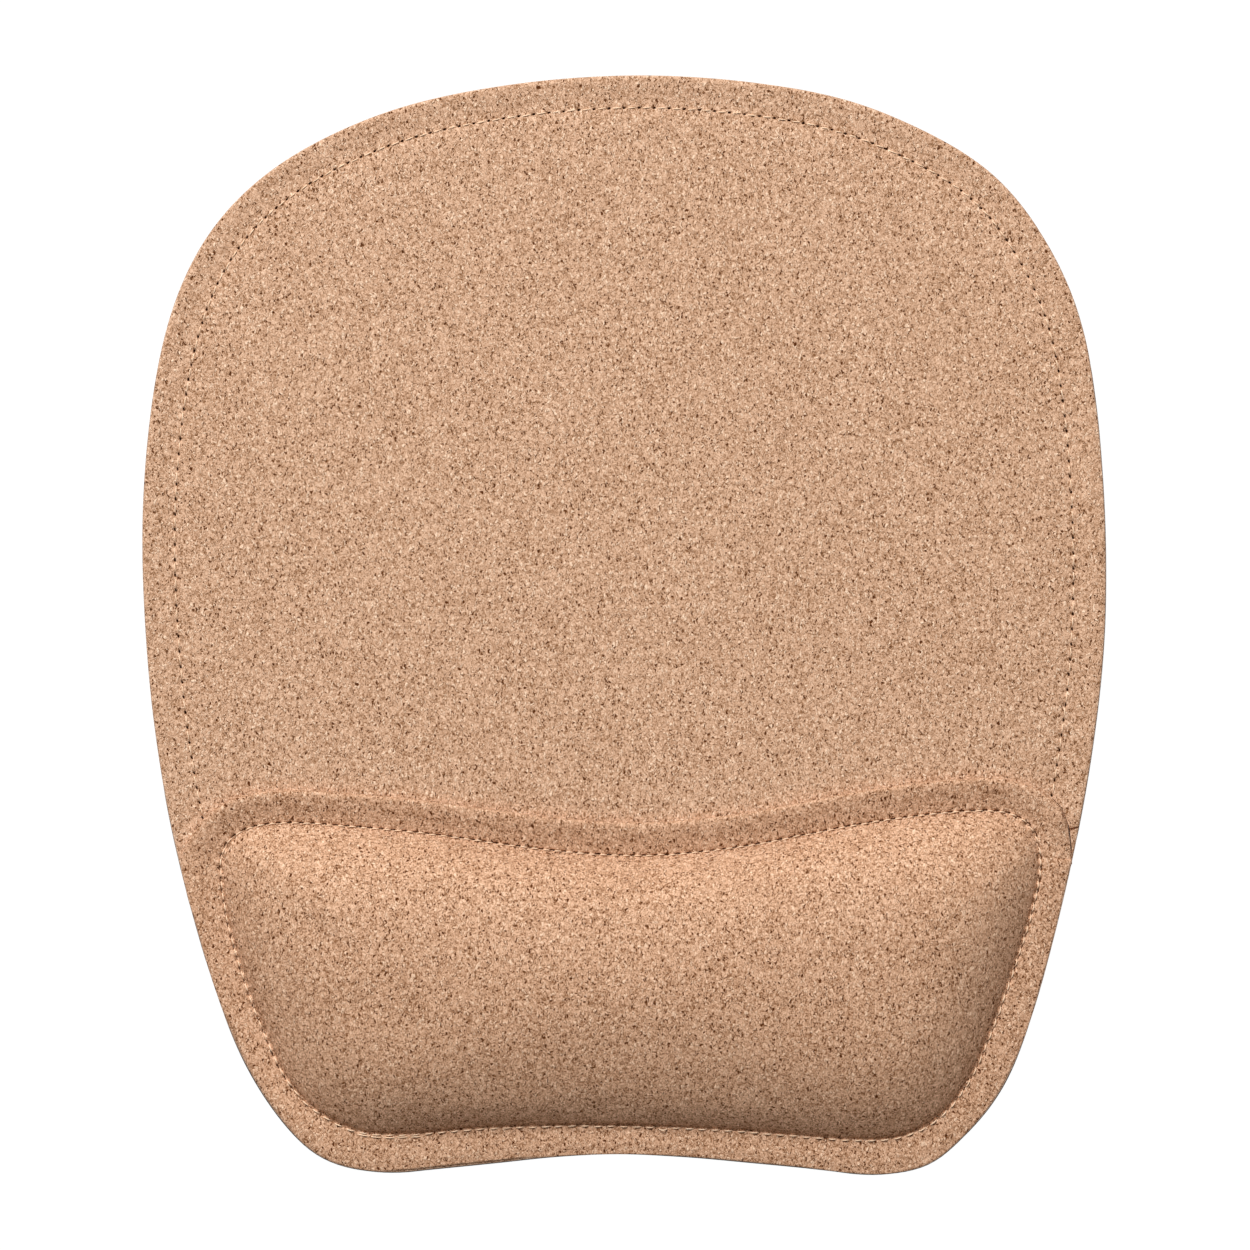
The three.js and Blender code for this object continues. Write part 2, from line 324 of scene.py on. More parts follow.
def folded_edge(centre, across, up, steps):
    """Places round the outside of an edge from its top to its underside, as outward and z."""
    turns = np.linspace(math.pi / 2, -math.pi / 2, steps)
    outward = np.cos(turns).clip(0) ** EDGE_SQUARENESS
    return list(zip(centre[0] + across * outward, centre[1] + up * np.sin(turns)))


# ---- Relief along a seam


def ease(share):
    """From 0 to 1, a little gentler at both ends."""
    return share - 0.08 * np.sin(2 * math.pi * share)


def between_holes(phase):
    """0 at each needle hole and 1 halfway between two."""
    return 0.5 - 0.5 * np.cos(2 * math.pi * phase)


def seam_relief(phase, across, pitch, size=1.0, opened=1.0):
    """Height of the fabric near a seam: a pit at each needle hole and a pucker between two.

    opened is 1 where the seam's holes are pulled open and less where they stay slender.
    """
    along = ((phase - np.round(phase)) * pitch + PIT_SLANT * opened * across) / size
    width = PIT_ACROSS * size * (0.5 + 0.5 * opened)
    pit = np.exp(-((along / PIT_ALONG) ** 2) - (across / width) ** 2)
    pucker = PUCKER * opened * between_holes(phase) * np.exp(-abs(across) / PUCKER_REACH)
    return pucker - PIT_DEPTH * pit, pit


# ---- The mat's outline

base_loop = Loop(anticlockwise(corners_at("base_sheet", BASE_TOP), (0, 0)))
MAT_STITCHES = 8 * round(base_loop.length * MAT_SEAM_SHARE / MAT_STITCH / 8)
MAT_FINE = 16 * MAT_STITCHES


def mat_points(count, inset, z):
    """A row of the mat, at an inset from its cover's edge."""
    shares = np.arange(count) / count
    edge = base_loop.at(shares)
    inset = inset + MAT_EDGE_INSET + wobble(shares, MAT_EDGE_WAVER, seed=3)
    return raised(edge - base_loop.outward(shares) * inset[:, None], z)


def mat_height(inset):
    """Height of the mat's top at an inset from its edge: a rim, a slope and the seam's valley."""
    rim = MAT_EDGE_RADIUS
    if inset <= MAT_SEAM_INSET:
        share = (MAT_SEAM_INSET - inset) / (MAT_SEAM_INSET - rim)
        return MAT_TOP - MAT_VALLEY + (MAT_VALLEY + MAT_RIM_RISE) * ease(share)
    return MAT_TOP - MAT_VALLEY * math.exp(-(((inset - MAT_SEAM_INSET) / MAT_VALLEY_REACH) ** 1.3))


def seam_shown(plan):
    """1 where the mat's seam shows and 0 where the pad's flange hides it."""
    return np.clip((plan[:, 1] - MAT_SEAM_END) / MAT_SEAM_FADE, 0, 1)


def mat_row(count, inset):
    """A row of the mat's top, with the seam's relief where the seam shows."""
    row = mat_points(count, inset, mat_height(inset))
    phase = np.arange(count) * MAT_STITCHES / count
    shown = seam_shown(row)
    relief, pit = seam_relief(phase, MAT_SEAM_INSET - inset, MAT_STITCH, MAT_PIT_SIZE)
    row[:, 2] += shown * relief
    # The fourth column, how far each point lies inside a needle hole, is the mask for the cork
    # material's painted shade.
    return np.column_stack([row, shown * pit])


def toward_middle(row, share, z):
    """A row drawn in towards the middle of the mat."""
    return raised(row[:, :2] * share, z)


def mat_cover():
    """One skin of fabric: top, seam, rounded edge, turned hem and the inside."""
    rim_top = MAT_TOP + MAT_RIM_RISE
    centre_z = (rim_top + BASE_TOP) / 2
    rise = (rim_top - BASE_TOP) / 2
    # The level middle: how many times fewer points a row has, and how far out it lies.
    spread = [(64, 0.08), (64, 0.18), (32, 0.29), (32, 0.4), (16, 0.51), (16, 0.62), (16, 0.72),
              (8, 0.81), (8, 0.89), (8, 0.95)]
    rows = [toward_middle(mat_points(MAT_FINE // fewer, PANEL_INSET, 0), share, MAT_TOP)
            for fewer, share in spread]
    rows += [mat_row(MAT_FINE // 4, PANEL_INSET), mat_row(MAT_FINE // 2, 10.6 * MM)]
    rows += [mat_row(MAT_FINE, MAT_SEAM_INSET + place) for place in [*reversed(SEAM_ROWS), 0]]
    rows += [mat_row(MAT_FINE, MAT_SEAM_INSET - place) for place in SEAM_ROWS]
    rows += [mat_row(MAT_FINE // 2, inset) for inset in (3.7 * MM, 2.8 * MM)]
    rows += [mat_row(MAT_FINE // 4, inset) for inset in (1.9 * MM, 1.4 * MM)]
    outer_edge = folded_edge((-MAT_EDGE_RADIUS, centre_z), MAT_EDGE_RADIUS, rise, 9)
    rows += [mat_points(MAT_FINE // 4, -out, z) for out, z in outer_edge]
    rows += [mat_points(MAT_FINE // 8, MAT_HEM, z) for z in (BASE_TOP, BASE_TOP + FABRIC)]
    inner_radius = MAT_EDGE_RADIUS - FABRIC
    inner_edge = folded_edge((-MAT_EDGE_RADIUS, centre_z), inner_radius, rise - FABRIC, 5)
    rows += [mat_points(MAT_FINE // 8, -out, z) for out, z in reversed(inner_edge)]
    rows += [mat_points(MAT_FINE // 16, inset, mat_height(inset) - FABRIC)
             for inset in (MAT_SEAM_INSET, 10 * MM)]
    inside = mat_points(MAT_FINE // 32, PANEL_INSET, 0)
    rows += [toward_middle(inside, share, MAT_TOP - FABRIC) for share in (0.6, 0.1)]
    return skin("mat_cover_fabric", (0, 0, MAT_TOP), rows, (0, 0, MAT_TOP - FABRIC))


def mat_core():
    """Foam sheet inside the cover, pressed thin along the seam and lying on the hem."""
    under = FABRIC + SKIN_GAP
    hem_top = BASE_TOP + FABRIC + SKIN_GAP
    count = MAT_FINE // 16
    rim = MAT_EDGE_RADIUS
    inside = mat_points(count // 2, PANEL_INSET, 0)
    rows = [toward_middle(inside, share, MAT_TOP - under) for share in (0.15, 0.55, 0.9)]
    rows += [mat_points(count, inset, mat_height(inset) - under)
             for inset in (10 * MM, 8.2 * MM, MAT_SEAM_INSET, 5.5 * MM, 4 * MM, rim + 0.5 * MM)]
    rows += [mat_points(count, under + SKIN_GAP, (MAT_TOP + BASE_TOP) / 2)]
    rows += [mat_points(count, inset, hem_top) for inset in (rim + 0.5 * MM, MAT_HEM + SKIN_GAP)]
    rows += [mat_points(count, MAT_HEM + 2 * SKIN_GAP, BASE_TOP + SKIN_GAP)]
    rows += [toward_middle(inside, 0.15, BASE_TOP + SKIN_GAP)]
    return skin("mat_core_foam", (0, 0, MAT_TOP - under), rows, (0, 0, BASE_TOP + SKIN_GAP))


# ---- The pad's seam and flange


def pad_loop_from_frame():
    """The seam's and the flange edge's points side by side, so that they are sampled together."""
    seam = middle_line("rest_needle_thread", (0, SPINE_Y))
    edge = corners_at("rest_cover", (MAT_TOP + FLANGE_TOP) / 2)
    gaps = np.linalg.norm(seam[:, None] - edge[None], axis=2)
    return Loop(np.hstack([seam, edge[gaps.argmin(axis=1)]]))


pad_loop = pad_loop_from_frame()


def crossing(side):
    """Share of the pad's seam where it crosses the line of the spine, on the left or the right."""
    plan = pad_loop.rows[:, :2]
    beside = np.where(plan[:, 0] * side > 0, abs(plan[:, 1] - SPINE_Y), np.inf)
    return pad_loop.along[beside.argmin()] / pad_loop.length


PAD_LEFT, PAD_RIGHT = crossing(-1), crossing(1)
NEAR_LENGTH = (PAD_RIGHT - PAD_LEFT) % 1.0 * pad_loop.length
NEAR_STITCHES = round(NEAR_LENGTH / PAD_NEAR_STITCH)
FAR_STITCHES = round((pad_loop.length - NEAR_LENGTH) / PAD_FAR_STITCH)
PAD_STITCHES = NEAR_STITCHES + FAR_STITCHES
PAD_FINE = 32 * round(PAD_STITCHES / 2)


def pad_shares(turn):
    """Shares of the seam's loop for a turn: its near half up to 0.5, then back round its far half."""
    near = (PAD_RIGHT - PAD_LEFT) % 1.0
    near_half = PAD_LEFT + near * 2 * turn
    far_half = PAD_RIGHT + (1 - near) * (2 * turn - 1)
    return np.mod(np.where(turn < 0.5, near_half, far_half), 1.0)


class PadRing:
    """The pad's seam at a number of places, with what lies outward and inward of each."""

    def __init__(self, turn):
        """turn says where: a number of even steps, or shares of the way round."""
        turn = np.arange(turn) / turn if np.isscalar(turn) else turn
        self.count = count = len(turn)
        rows = pad_loop.at(pad_shares(turn))
        self.seam = rows[:, :2]
        self.outward = unit(rows[:, 2:] - self.seam)
        width = np.linalg.norm(rows[:, 2:] - self.seam, axis=1)
        self.width = width + wobble(turn, PAD_EDGE_WAVER, seed=5)
        facing_far = self.outward[:, 1]
        self.width += PAD_SPREAD * np.clip((0.45 - facing_far) / 0.3, 0, 1)
        # The mat peeks out where the flange is narrower.
        place, reach, peek = MAT_SHOWS
        away = np.linalg.norm(rows[:, 2:] - place, axis=1) / reach
        self.width -= peek * np.clip(3 * (1 - away), 0, 1)
        self.phase = np.interp(turn, (0, 0.5, 1), (0, NEAR_STITCHES, PAD_STITCHES))
        lean = np.clip(self.outward @ DROOP_SIDE, 0, 1)
        lean = lean * lean * (3 - 2 * lean)
        self.fall = PAD_RIM_FALL * lean
        self.rim_top = RIM_TOP - PAD_RIM_DROOP * lean - self.fall
        self.valley = PAD_VALLEY_Z + PAD_VALLEY_LIFT * lean
        # The holes are pulled open along the far side and, less so, at the right end.
        self.far = np.clip(1.6 * facing_far, 0, 1)
        pulled = np.maximum(self.far, 0.7 * self.outward[:, 0])
        self.opened = PAD_SIDE_PITS + (1 - PAD_SIDE_PITS) * pulled.clip(0, 1)
        self.pit_shift = PIT_SHIFT * np.clip(1 + 2 * facing_far, -1, 1)
        # Each place and its partner across the pad meet at one place of the spine.
        partner = (count - np.arange(count)) % count
        spine_x = PAD_SPINE_SHARE * (self.seam[:, 0] + self.seam[partner, 0]) / 2
        self.spine = np.column_stack([spine_x, np.full(count, SPINE_Y)])
        self.reach = np.linalg.norm(self.spine - self.seam, axis=1)

    def bulge(self, across):
        """How far the pad's edge bulges outward between the holes, near the seam."""
        return SCALLOP * self.far * between_holes(self.phase) * math.exp(-((across / MM) ** 2))

    def relief(self, across):
        """The seam's relief at a distance outward of it."""
        across = across - self.pit_shift
        return seam_relief(self.phase, across, PAD_FAR_STITCH, PAD_PIT_SIZE, self.opened)

    def row(self, across, z):
        """A row at a distance outward of the seam."""
        return raised(self.seam + self.outward * np.broadcast_to(across, self.count)[:, None], z)

    def inside(self, share, z):
        """A row at a share of the way in from the seam to the spine."""
        share = np.broadcast_to(share, self.count)[:, None]
        return raised(self.seam + (self.spine - self.seam) * share, z)

    def fold(self, z):
        """The spine's own points, for a ring that closes on it."""
        return raised(self.spine[:self.count // 2 + 1], z)


def flange_height(ring, across):
    """Height of the flange from the seam's valley up to its rim."""
    share = np.clip(across / (ring.width - PAD_RIM), 0, 1)
    rise = ring.rim_top + ring.fall - ring.valley
    return ring.valley + rise * ease(share) - ring.fall * share**6


# ---- The pad's dome, inflated as a cloth

DOME_COUNT = PAD_FINE // 8
DOME_HALF = DOME_COUNT // 2 + 1   # points of the spine
dome_ring = PadRing(DOME_COUNT)


def plain_dome(height_share):
    """Rows of the dome before it is inflated, from the seam to the spine."""
    rows = []
    fullness = PAD_FULLNESS - PAD_LEFT_EASE * np.clip(-dome_ring.outward[:, 0], 0, 1) ** 2
    fullness += PAD_NEAR_STEEP * np.clip(-dome_ring.outward[:, 1], 0, 1) ** 2
    for level in range(PAD_LEVELS + 1):
        share = (level / PAD_LEVELS) ** PAD_CROWDING
        rise = 1 - (1 - share) ** fullness
        height = (CROWN - dome_ring.valley) * height_share
        rows.append(dome_ring.inside(share, dome_ring.valley + height * rise))
    return np.array(rows)


def inflate(dome):
    """Runs the dome as a cloth under pressure, held at its seam, and gives its rows afterwards."""
    floor_z = PAD_VALLEY_Z - 0.5 * MM
    floor_rows = [dome_ring.inside(share, floor_z) for share in (0.02, 0.5)]
    rows = [*dome[-2::-1], *floor_rows]
    cushion = skin("dome_cloth", dome[-1][:DOME_HALF], rows, dome_ring.fold(floor_z))
    free = DOME_HALF + DOME_COUNT * (PAD_LEVELS - 1)
    held = cushion.vertex_groups.new(name="held")
    held.add(list(range(free, len(cushion.data.vertices))), 1.0, "REPLACE")

    cloth = cushion.modifiers.new("cloth", "CLOTH")
    settings = cloth.settings
    settings.quality = 6
    settings.mass = 0.3
    settings.tension_stiffness = 25
    settings.compression_stiffness = 25
    settings.shear_stiffness = 12
    settings.bending_stiffness = 2.0
    settings.vertex_group_mass = "held"
    settings.use_pressure = True
    settings.uniform_pressure_force = 4.0
    settings.effector_weights.gravity = 0
    cloth.collision_settings.use_collision = False
    cloth.point_cache.frame_start = 1
    cloth.point_cache.frame_end = CLOTH_STEPS
    before = np.array([vertex.co for vertex in cushion.data.vertices])
    for step in range(1, CLOTH_STEPS + 1):
        bpy.context.scene.frame_set(step)
    shown = cushion.evaluated_get(bpy.context.evaluated_depsgraph_get())
    after = np.array([vertex.co for vertex in shown.data.vertices])
    bpy.context.scene.frame_set(1)
    bpy.data.objects.remove(cushion)

    moved = after - before
    size = np.linalg.norm(moved, axis=1, keepdims=True)
    moved *= np.minimum(1, DOME_CAP / np.maximum(size, 1e-9))
    after = before + moved
    spine = after[:DOME_HALF][folded(DOME_COUNT)]
    levels = after[DOME_HALF:free + DOME_COUNT].reshape(PAD_LEVELS, DOME_COUNT, 3)[::-1]
    return np.concatenate([levels, spine[None]])


dome = inflate(plain_dome(DOME_SHARE))
stretch = (CROWN - PAD_VALLEY_Z) / (dome[:, :, 2].max() - PAD_VALLEY_Z)
dome[:, :, 2] = PAD_VALLEY_Z + (dome[:, :, 2] - PAD_VALLEY_Z) * stretch


def dome_points(count, share):
    """Points of the dome at a share of the way from the seam to the spine, for any ring count."""
    turn = np.arange(count) * DOME_COUNT / count
    low = np.floor(turn).astype(int)
    high = (low + 1) % DOME_COUNT
    blend = (turn - low)[:, None]
    level = np.broadcast_to(share, count) ** (1 / PAD_CROWDING) * PAD_LEVELS
    level = np.clip(level, 0, PAD_LEVELS - 1e-6)
    under = np.floor(level).astype(int)
    lift = (level - under)[:, None]
    left = dome[under, low] * (1 - lift) + dome[under + 1, low] * lift
    right = dome[under, high] * (1 - lift) + dome[under + 1, high] * lift
    return left * (1 - blend) + right * blend


def rest_cover():
    """One skin of fabric: dome, seam, flange, rounded rim, turned hem and the inside."""
    fine, middle = PadRing(PAD_FINE), PadRing(PAD_FINE // 2)
    side, inner = PadRing(PAD_FINE // 4), PadRing(PAD_FINE // 16)
    first_level = 7
    rows = [dome[level] for level in range(PAD_LEVELS - 1, first_level - 1, -1)]
    first_share = (first_level / PAD_LEVELS) ** PAD_CROWDING
    for ring, part in ((side, 0.66), (middle, 0.33)):
        place = SEAM_ROWS[-1] + (first_share * ring.reach - SEAM_ROWS[-1]) * part
        rows += [dome_points(ring.count, place / ring.reach)]
    for place in [*reversed(SEAM_ROWS), 0]:
        row = dome_points(fine.count, place / fine.reach)
        lifted = 1 - math.exp(-((place / PAD_FOOT) ** 2))
        row[:, 2] = fine.valley + (row[:, 2] - fine.valley) * lifted
        # The pit's share goes along as the fourth column, the mask for the cork material's painted
        # shade.
        relief, pit = fine.relief(-place)
        row[:, 2] += relief
        row[:, :2] += fine.outward * fine.bulge(place)[:, None]
        rows.append(np.column_stack([row, pit]))
    for place in SEAM_ROWS:
        relief, pit = fine.relief(place)
        row = fine.row(place + fine.bulge(place), flange_height(fine, place) + relief)
        rows.append(np.column_stack([row, pit]))
    relieved = SEAM_ROWS[-1]
    for ring, share in ((middle, 0.25), (side, 0.5), (side, 0.75), (side, 0.9)):
        place = relieved + share * (ring.width - PAD_RIM - relieved)
        rows.append(ring.row(place, flange_height(ring, place)))
    for out, share in folded_edge((-PAD_RIM, 0.5), PAD_RIM, 0.5, 9):
        rows.append(side.row(side.width + out, MAT_TOP + (side.rim_top - MAT_TOP) * share))
    hem = PadRing(PAD_FINE // 8)
    rows += [hem.row(hem.width - PAD_HEM, z) for z in (MAT_TOP, MAT_TOP + HEM_FABRIC / 2)]
    middle_z = (MAT_TOP + inner.rim_top) / 2
    low = np.minimum(MAT_TOP + HEM_FABRIC, middle_z - SKIN_GAP)
    high = np.maximum(inner.rim_top - HEM_FABRIC, middle_z + SKIN_GAP)
    for out, share in reversed(folded_edge((-FABRIC - PAD_RIM, 0.5), PAD_RIM, 0.5, 3)):
        rows.append(inner.row(inner.width + out, low + (high - low) * share))
    for share in (0.4, 0.06):
        place = share * (inner.width - FABRIC - PAD_RIM)
        rows.append(inner.row(place, flange_height(inner, place) - HEM_FABRIC))
    for share in (0.08, 0.2, 0.36, 0.56, 0.78):
        rows.append(dome_points(inner.count, share) - [0, 0, FABRIC + 2 * SKIN_GAP])
    fold = dome_points(inner.count, 1.0)[:inner.count // 2 + 1] - [0, 0, FABRIC]
    return skin("rest_cover_fabric", dome[-1][:DOME_HALF], rows, fold)


def rest_foam():
    """Foam bolster under the dome, flat where it stands on the backing."""
    ring = PadRing(PAD_FINE // 16)
    under = np.array([0, 0, FABRIC + 8 * SKIN_GAP])
    bottom = FLANGE_TOP - FABRIC + SKIN_GAP
    rows = [dome_points(ring.count, share) - under
            for share in (0.9, 0.78, 0.66, 0.54, 0.42, 0.32, 0.23, 0.16, 0.1)]
    rows += [ring.inside(share, bottom) for share in (0.1, 0.5)]
    fold = dome_points(ring.count, 1.0)[:ring.count // 2 + 1] - under
    return skin("rest_foam_bolster", fold, rows, ring.fold(bottom))


def rest_backing():
    """Thin sheet inside the flange, pressed flat under the seam."""
    ring = PadRing(PAD_FINE // 16)
    top = FLANGE_TOP - FABRIC
    low = MAT_TOP + SKIN_GAP
    edge = ring.width - 2 * PAD_RIM - FABRIC
    rows = [ring.inside(0.5, top), ring.inside(0.1, top)]
    for share in (0.0, 0.3, 0.65, 1.0):
        place = share * edge
        under_fabric = flange_height(ring, place) - FABRIC - SKIN_GAP
        rows.append(ring.row(place, np.maximum(under_fabric, low + SKIN_GAP)))
    rows += [ring.row(edge, low), ring.inside(0.5, low)]
    return skin("rest_backing_sheet", ring.fold(top), rows, ring.fold(low))


# ---- Stitches


def stitches(name, holes, outward, radius, z, up, slanted, arch, dip, seed,
             pushed=0.0, bowed=0.0, loose=()):
    """Twisted thread from each hole to the next: over the fabric and down into it at both ends.

    z is the middle of the thread's highest part, up is 1 on top and -1 underneath. The slant, the
    push and the bow are outward distances: from end to end, everywhere, and halfway.
    """
    chance = np.random.default_rng(seed)
    start, end = holes[:-1], holes[1:]
    count = len(start)
    run = end - start
    lengths = np.linalg.norm(run, axis=1)
    side = (outward[:-1] + outward[1:]) / 2
    places = np.linspace(0, 1, STITCH_STEPS + 1)
    dive = abs(2 * places - 1) ** arch
    bowed = np.broadcast_to(bowed, count + 1)[:-1]
    slant = (1 - 2 * places)[None] * (slanted * chance.uniform(0.75, 1.25, count))[:, None]
    slant = slant + chance.normal(pushed, STRAY_OUT, count)[:, None]
    slant = slant + bowed[:, None] * np.sin(math.pi * places)[None]
    lift = chance.normal(0, STRAY_UP, count)[:, None] * (1 - dive)[None] - dip * dive[None]
    for which, raise_by, push_by in loose:
        bow = np.sin(math.pi * places)
        slant[which] += push_by * bow
        lift[which] += raise_by * bow
    # The ends stop short of the middle of the hole, so that two stitches share it.
    along = 0.5 + (places - 0.5) * STITCH_SHARE
    middle = np.zeros((count, STITCH_STEPS + 1, 3))
    middle[:, :, :2] = start[:, None] + run[:, None] * along[None, :, None]
    middle[:, :, :2] += side[:, None] * slant[:, :, None]
    height = np.broadcast_to(z, len(holes))
    middle[:, :, 2] = ((height[:-1] + height[1:]) / 2)[:, None] + up * lift

    forward = unit(np.gradient(middle, axis=1))
    across = np.zeros_like(middle)
    across[:, :, :2] = side[:, None]
    across = unit(across - forward * (across * forward).sum(2, keepdims=True))
    over = np.cross(forward, across)
    angles = 2 * math.pi * np.arange(STITCH_SIDES) / STITCH_SIDES
    turned = chance.uniform(0, 2 * math.pi, count)[:, None] + 2 * math.pi * (
        places[None] * lengths[:, None] / TWIST)
    ply = 1 - PLY_DEPTH * (0.5 + 0.5 * np.cos(PLIES * (angles[None, None] - turned[:, :, None])))
    taper = 1 - STITCH_TAPER * dive**2
    size = radius * ply * taper[None, :, None]
    ring = middle[:, :, None] + size[..., None] * (
        np.cos(angles)[None, None, :, None] * across[:, :, None]
        + np.sin(angles)[None, None, :, None] * over[:, :, None])

    faces = []
    for stitch in range(count):
        first = stitch * (STITCH_STEPS + 1) * STITCH_SIDES
        for step in range(STITCH_STEPS):
            here = first + step * STITCH_SIDES
            for corner in range(STITCH_SIDES):
                beside = (corner + 1) % STITCH_SIDES
                faces.append([here + corner, here + beside, here + STITCH_SIDES + beside,
                              here + STITCH_SIDES + corner])
        faces.append([first + corner for corner in reversed(range(STITCH_SIDES))])
        last = first + STITCH_STEPS * STITCH_SIDES
        faces.append([last + corner for corner in range(STITCH_SIDES)])
    return add_mesh(name, ring.reshape(-1, 3), faces)


def mat_holes():
    """Needle holes of the mat's seam, from under one side of the flange to under the other."""
    shares = np.arange(MAT_STITCHES) / MAT_STITCHES
    plan = mat_points(MAT_STITCHES, MAT_SEAM_INSET, 0)[:, :2]
    outward = base_loop.outward(shares)
    near = plan[:, 1].argmin()
    order = np.roll(np.arange(MAT_STITCHES), -near)
    order = order[plan[order, 1] > MAT_SEAM_END]
    return plan[order], outward[order]


def pad_holes():
    """The pad's seam at its needle holes, all the way round and back to the first."""
    hole = np.arange(PAD_STITCHES)
    ring = PadRing(np.interp(hole, (0, NEAR_STITCHES, PAD_STITCHES), (0, 0.5, 1)))
    near = np.clip(-ring.outward[:, 1], 0, 1)
    order = np.append(hole, 0)
    return [part[order] for part in (ring.seam, ring.outward, ring.valley, ring.opened, near)]


# ---- Cutters and the base sheet


def tube(name, plan, z, radius_across, radius_up, closed):
    """A tube of oval section along a level line, for cutting a groove."""
    sides = 10
    ahead = np.roll(plan, -1, 0) - plan
    behind = plan - np.roll(plan, 1, 0)
    if not closed:
        ahead[-1] = behind[-1]
        behind[0] = ahead[0]
    run = unit(ahead + behind)
    side = np.stack([run[:, 1], -run[:, 0]], axis=1)
    angles = 2 * math.pi * np.arange(sides) / sides
    rings = []
    for angle in angles:
        out = side * np.broadcast_to(radius_across, len(plan))[:, None] * math.cos(angle)
        rings.append(raised(plan + out, z + radius_up * math.sin(angle)))
    points = np.stack(rings, axis=1).reshape(-1, 3)
    count = len(plan)
    faces = []
    for i in range(count if closed else count - 1):
        j = (i + 1) % count
        for corner in range(sides):
            beside = (corner + 1) % sides
            faces.append([i * sides + corner, j * sides + corner,
                          j * sides + beside, i * sides + beside])
    if not closed:
        faces.append(list(range(sides)))
        faces.append([(count - 1) * sides + corner for corner in reversed(range(sides))])
    return add_mesh(name, points, faces, smooth=False)


def wedge(name, plan, low, high):
    """An upright block on a plan outline, for cutting."""
    count = len(plan)
    points = [(x, y, z) for z in (low, high) for x, y in plan]
    faces = [list(reversed(range(count))), list(range(count, 2 * count))]
    for i in range(count):
        j = (i + 1) % count
        faces.append([i, j, count + j, count + i])
    return add_mesh(name, np.array(points), faces, smooth=False)


def cut(piece, cutters):
    """Cuts the cutters out of a piece and removes them."""
    for cutter in cutters:
        boolean = piece.modifiers.new("cut", "BOOLEAN")
        boolean.operation = "DIFFERENCE"
        boolean.solver = "EXACT"
        boolean.object = cutter
        shown = piece.evaluated_get(bpy.context.evaluated_depsgraph_get())
        mesh = bpy.data.meshes.new_from_object(shown)
        piece.modifiers.clear()
        old = piece.data
        piece.data = mesh
        bpy.data.meshes.remove(old)
        bpy.data.objects.remove(cutter)
    piece.data.shade_smooth()
    piece.data.set_sharp_from_angle(angle=math.radians(35))


def crease():
    """Cutter for the fine gap between the flange's right corner and the mat."""
    ring = PadRing(PAD_FINE // 8)
    edge = ring.row(ring.width + CREASE_GAP, MAT_TOP)[:, :2]
    turn = np.arctan2(ring.outward[:, 1], ring.outward[:, 0])
    part = (turn > CREASE_FROM) & (turn < CREASE_TO) & (edge[:, 0] > 0)
    line = edge[part]
    width = CREASE_GAP * np.linspace(1, 0.3, len(line))
    middle = MAT_TOP + MAT_RIM_RISE
    return tube("crease", line, middle, width, CREASE_DEPTH + MAT_RIM_RISE, closed=False)


def groove_row(count, away):
    """A row of the sheet's underside, raised where the mat's seam lies in its groove."""
    row = mat_points(count, MAT_SEAM_INSET + away, 0)
    row[:, 2] = seam_shown(row) * GROOVE_DEPTH * math.sqrt(1 - (away / GROOVE_REACH) ** 2)
    return row


def base_sheet(pad_seam):
    """Thin sheet under the mat with slightly rounded edges and a groove under each seam."""
    radius = SHEET_EDGE_RADIUS
    count = MAT_FINE // 8
    edge_plan = mat_points(count, 0, 0)[:, :2]
    out = np.full(count, -SHEET_TUCK)
    for place, reach, peek in SHEET_SHOWS:
        away = np.linalg.norm(edge_plan - place, axis=1) / reach
        shown = np.clip(4 * (1 - away), 0, 1)
        out = np.maximum(out, shown * (peek + SHEET_TUCK) - SHEET_TUCK)
    edge = folded_edge((-radius, BASE_TOP / 2), radius, BASE_TOP / 2, 5)
    inside = mat_points(count // 8, PANEL_INSET, 0)
    rows = [toward_middle(inside, share, BASE_TOP) for share in (0.1, 0.6)]
    rows += [mat_points(count // 4, PANEL_INSET, BASE_TOP)]
    rows += [mat_points(count // 2, 4 * MM, BASE_TOP)]
    rows += [mat_points(count, -out - away, z) for away, z in edge]
    rows += [mat_points(count // 2, 4 * MM, 0)]
    rows += [groove_row(count, part * GROOVE_REACH) for part in (-1, -0.9, -0.6, 0, 0.6, 0.9, 1)]
    rows += [mat_points(count // 2, 10 * MM, 0), mat_points(count // 4, PANEL_INSET, 0)]
    rows += [toward_middle(inside, share, 0) for share in (0.6, 0.1)]
    sheet = skin("base_non_slip_sheet", (0, 0, BASE_TOP), rows, (0, 0, 0))
    cut(sheet, [tube("pad_groove", pad_seam, 0, GROOVE_REACH, GROOVE_DEPTH, closed=True)])
    return sheet


# ---- Materials


def srgb(*levels):
    """A colour given as 0 to 255 screen levels, as Blender's linear numbers."""
    shares = [level / 255 for level in levels]
    linear = [s / 12.92 if s <= 0.04045 else ((s + 0.055) / 1.055) ** 2.4 for s in shares]
    return (*linear, 1.0)


